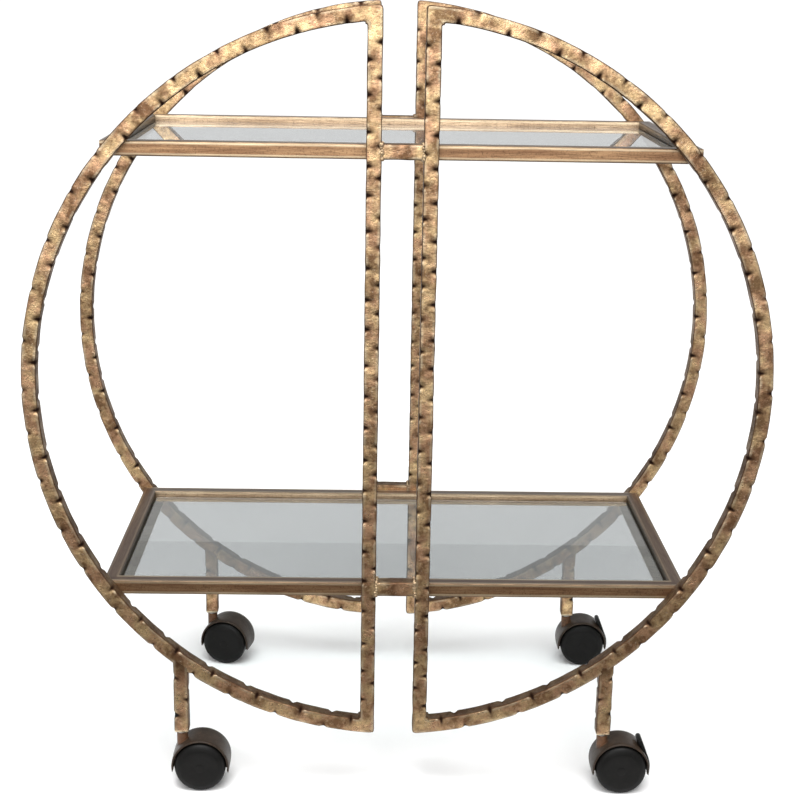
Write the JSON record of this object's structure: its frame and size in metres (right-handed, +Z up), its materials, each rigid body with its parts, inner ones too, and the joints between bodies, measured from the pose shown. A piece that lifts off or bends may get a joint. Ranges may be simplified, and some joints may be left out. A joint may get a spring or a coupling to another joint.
{
  "type": "bar cart",
  "caption": "Bar cart with split round hammered-tube frames front and back, inset glass shelves between them and swivelling twin-wheel casters with foot brakes.",
  "frame": {"origin": "on the floor under the centre of the cart", "axes": "+Z up, front towards -Y, +X to the right as seen from the front"},
  "size_m": [0.8398, 0.406, 0.9094],
  "materials": {
    "hammered_brass": "hammered antique brass plating with dark patina on steel tube",
    "rail_brass": "brushed antique brass plating on steel tube",
    "ledge_metal": "dark plated steel strip",
    "glass": "clear tempered glass, polished edges",
    "black_plastic": "satin black nylon",
    "hood_bronze": "satin bronze-brown nylon",
    "steel": "plain turned steel"
  },
  "bodies": {
    "frame": {"front_left_arc": "hammered_brass", "front_right_arc": "hammered_brass", "back_left_arc": "hammered_brass", "back_right_arc": "hammered_brass", "front_left_upright": "hammered_brass", "front_right_upright": "hammered_brass", "back_left_upright": "hammered_brass", "back_right_upright": "hammered_brass", "front_upper_bridge": "hammered_brass", "front_lower_bridge": "hammered_brass", "back_upper_bridge": "hammered_brass", "back_lower_bridge": "hammered_brass", "front_left_leg": "hammered_brass", "front_right_leg": "hammered_brass", "back_left_leg": "hammered_brass", "back_right_leg": "hammered_brass", "upper_front_rail": "rail_brass", "upper_back_rail": "rail_brass", "upper_left_rail": "rail_brass", "upper_right_rail": "rail_brass", "lower_front_rail": "rail_brass", "lower_back_rail": "rail_brass", "lower_left_rail": "rail_brass", "lower_right_rail": "rail_brass", "upper_ledge": "ledge_metal", "lower_ledge": "ledge_metal", "upper_glass": "glass", "lower_glass": "glass", "front_left_socket": "black_plastic", "front_right_socket": "black_plastic", "back_left_socket": "black_plastic", "back_right_socket": "black_plastic", "front_left_stem": "steel", "front_right_stem": "steel", "back_left_stem": "steel", "back_right_stem": "steel"},
    "front_left_caster": {"front_left_hood": "hood_bronze", "front_left_axle": "steel"},
    "front_left_outer_roller": {"front_left_outer_wheel": "black_plastic"},
    "front_left_inner_roller": {"front_left_inner_wheel": "black_plastic"},
    "front_right_caster": {"front_right_hood": "hood_bronze", "front_right_axle": "steel", "front_right_brake_pin": "steel"},
    "front_right_outer_roller": {"front_right_outer_wheel": "black_plastic"},
    "front_right_inner_roller": {"front_right_inner_wheel": "black_plastic"},
    "front_right_foot_brake": {"front_right_brake_lever": "black_plastic"},
    "back_left_caster": {"back_left_hood": "hood_bronze", "back_left_axle": "steel"},
    "back_left_outer_roller": {"back_left_outer_wheel": "black_plastic"},
    "back_left_inner_roller": {"back_left_inner_wheel": "black_plastic"},
    "back_right_caster": {"back_right_hood": "hood_bronze", "back_right_axle": "steel", "back_right_brake_pin": "steel"},
    "back_right_outer_roller": {"back_right_outer_wheel": "black_plastic"},
    "back_right_inner_roller": {"back_right_inner_wheel": "black_plastic"},
    "back_right_foot_brake": {"back_right_brake_lever": "black_plastic"}
  },
  "joints": [
    {"name": "front_left_swivel", "type": "hinge", "parent": "frame", "child": "front_left_caster", "pos_m": [-0.25, -0.18, 0.06], "axis": [0, 0, 1], "continuous": true},
    {"name": "front_left_outer_roll", "type": "hinge", "parent": "front_left_caster", "child": "front_left_outer_roller", "pos_m": [-0.228, -0.18, 0.03], "axis": [0, 1, 0], "continuous": true},
    {"name": "front_left_inner_roll", "type": "hinge", "parent": "front_left_caster", "child": "front_left_inner_roller", "pos_m": [-0.228, -0.18, 0.03], "axis": [0, 1, 0], "continuous": true},
    {"name": "front_right_swivel", "type": "hinge", "parent": "frame", "child": "front_right_caster", "pos_m": [0.25, -0.18, 0.06], "axis": [0, 0, 1], "continuous": true},
    {"name": "front_right_outer_roll", "type": "hinge", "parent": "front_right_caster", "child": "front_right_outer_roller", "pos_m": [0.272, -0.18, 0.03], "axis": [0, 1, 0], "continuous": true},
    {"name": "front_right_inner_roll", "type": "hinge", "parent": "front_right_caster", "child": "front_right_inner_roller", "pos_m": [0.272, -0.18, 0.03], "axis": [0, 1, 0], "continuous": true},
    {"name": "front_right_brake", "type": "hinge", "parent": "front_right_caster", "child": "front_right_foot_brake", "pos_m": [0.29798, -0.18, 0.02909], "axis": [0, 1, 0], "range_deg": [0, 15]},
    {"name": "back_left_swivel", "type": "hinge", "parent": "frame", "child": "back_left_caster", "pos_m": [-0.25, 0.18, 0.06], "axis": [0, 0, 1], "continuous": true},
    {"name": "back_left_outer_roll", "type": "hinge", "parent": "back_left_caster", "child": "back_left_outer_roller", "pos_m": [-0.22848, 0.17543, 0.03], "axis": [0.2079, 0.9781, 0], "continuous": true},
    {"name": "back_left_inner_roll", "type": "hinge", "parent": "back_left_caster", "child": "back_left_inner_roller", "pos_m": [-0.22848, 0.17543, 0.03], "axis": [0.2079, 0.9781, 0], "continuous": true},
    {"name": "back_right_swivel", "type": "hinge", "parent": "frame", "child": "back_right_caster", "pos_m": [0.25, 0.18, 0.06], "axis": [0, 0, 1], "continuous": true},
    {"name": "back_right_outer_roll", "type": "hinge", "parent": "back_right_caster", "child": "back_right_outer_roller", "pos_m": [0.272, 0.18, 0.03], "axis": [0, 1, 0], "continuous": true},
    {"name": "back_right_inner_roll", "type": "hinge", "parent": "back_right_caster", "child": "back_right_inner_roller", "pos_m": [0.272, 0.18, 0.03], "axis": [0, 1, 0], "continuous": true},
    {"name": "back_right_brake", "type": "hinge", "parent": "back_right_caster", "child": "back_right_foot_brake", "pos_m": [0.29798, 0.18, 0.02909], "axis": [0, 1, 0], "range_deg": [0, 15]}
  ]
}
